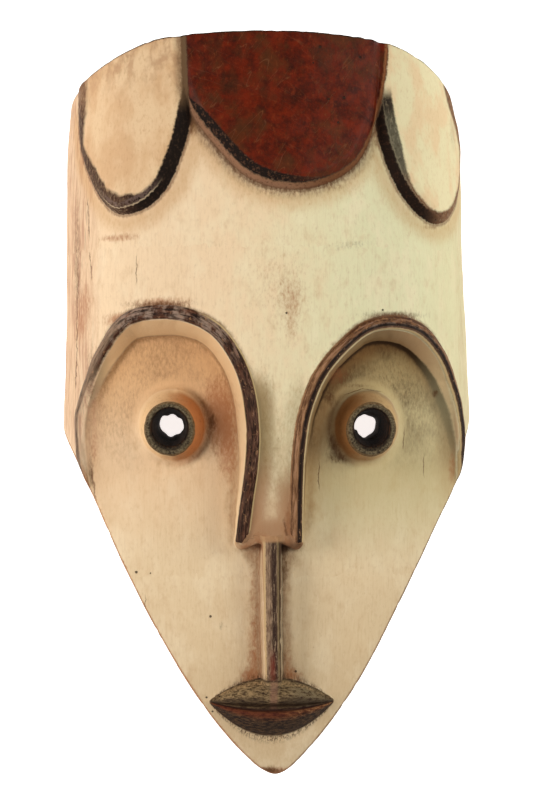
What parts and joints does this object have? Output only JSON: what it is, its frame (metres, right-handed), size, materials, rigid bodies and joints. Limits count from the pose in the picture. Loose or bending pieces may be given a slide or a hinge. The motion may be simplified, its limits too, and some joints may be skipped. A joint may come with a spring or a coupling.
{
  "type": "face mask",
  "caption": "Carved wooden face mask, hollow behind: domed forehead with raised hair lobes, arched brows, tube eyes, thin fin nose and lens-shaped mouth.",
  "frame": {"origin": "middle of the outline, on the rim plane of the hollow side, so at the bottom of the bounding box", "axes": "+Z out of the face, +Y from the chin to the crown, +X to the viewer's right. The mask lies on its rim, face up."},
  "size_m": [0.286, 0.5012, 0.1192],
  "materials": {
    "painted_wood": "matt whitish clay paint over bare light wood, dark brown bands, worn and stained"
  },
  "bodies": {
    "root": {"mask": "painted_wood"}
  },
  "joints": []
}
